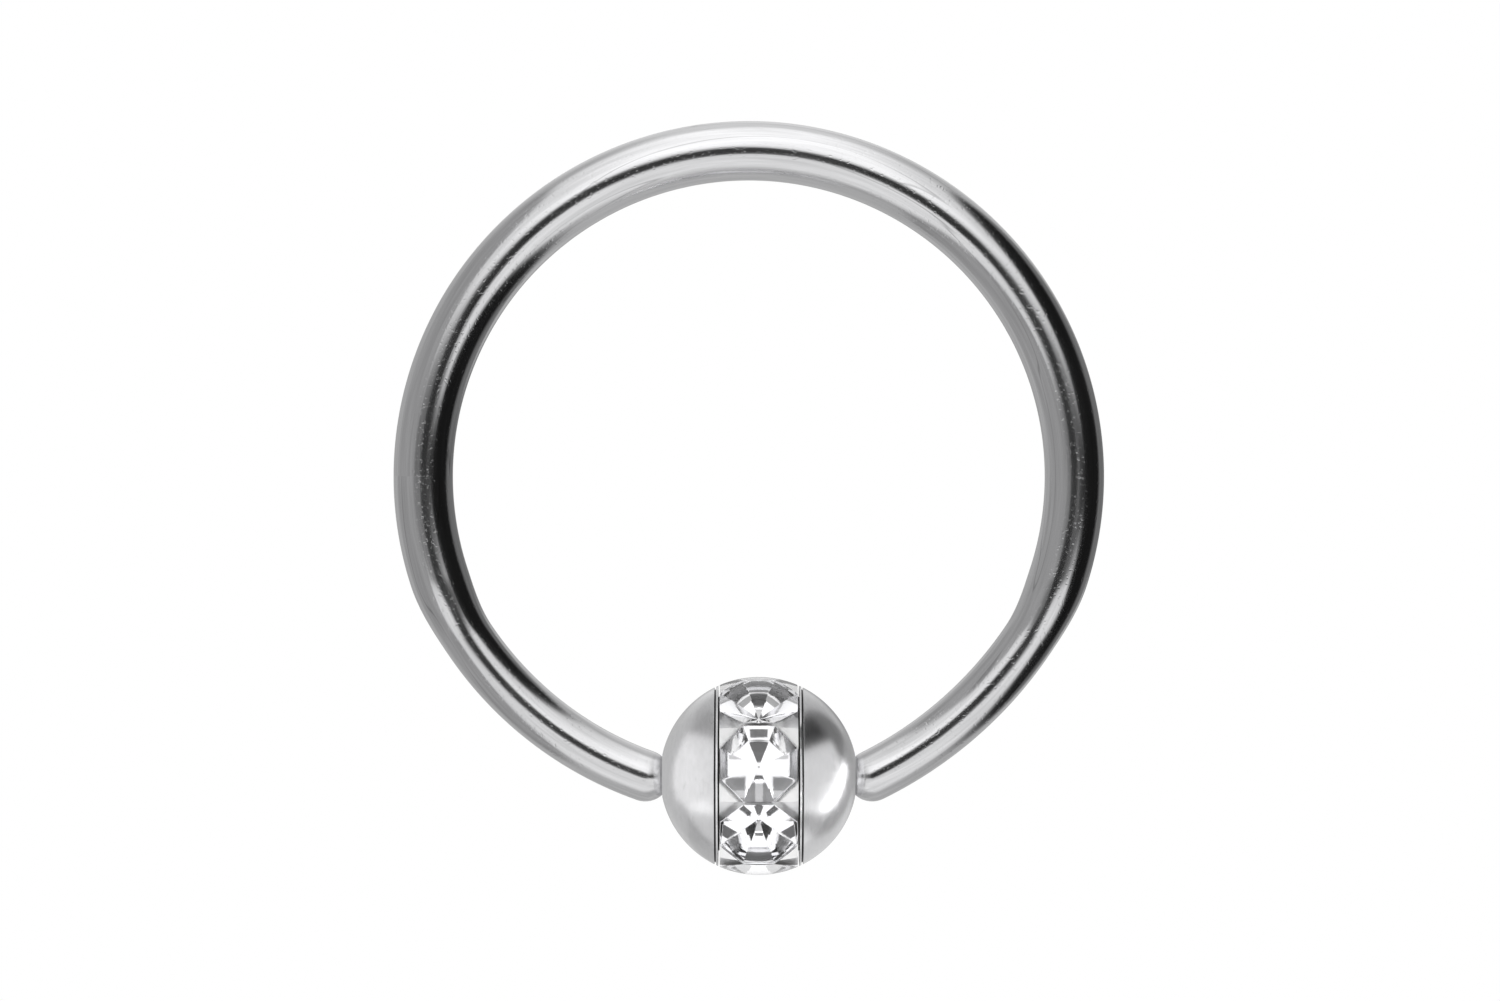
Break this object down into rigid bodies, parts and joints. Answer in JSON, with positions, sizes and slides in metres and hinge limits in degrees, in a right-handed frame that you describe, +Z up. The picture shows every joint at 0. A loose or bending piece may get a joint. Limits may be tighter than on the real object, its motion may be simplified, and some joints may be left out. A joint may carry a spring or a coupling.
{
  "type": "captive bead ring",
  "caption": "Open wire ring whose rounded ends hold a turning metal ball with a clear-covered band of cut clear stones round its middle.",
  "frame": {"origin": "on the surface that the ring lies on, in the middle of its outline seen from above", "axes": "+Z up from the surface, -Y from the ring's middle towards the bead, +X to the right with the bead nearest; the bead turns about X"},
  "size_m": [0.0144, 0.0152, 0.004],
  "materials": {
    "wire_steel": "polished surgical steel with fine drawing lines",
    "bead_steel": "polished surgical steel, slightly satin",
    "stone": "clear cut crystal",
    "resin": "clear glossy resin"
  },
  "bodies": {
    "ring": {"ring": "wire_steel"},
    "bead": {"bead_body": "bead_steel", "stone_1": "stone", "stone_2": "stone", "stone_3": "stone", "stone_4": "stone", "stone_5": "stone", "stone_6": "stone", "stone_7": "stone", "resin_cover": "resin"}
  },
  "joints": [
    {"name": "bead_spin", "type": "hinge", "parent": "ring", "child": "bead", "pos_m": [0.0002, -0.0056, 0.002], "axis": [1, 0, 0], "continuous": true}
  ]
}
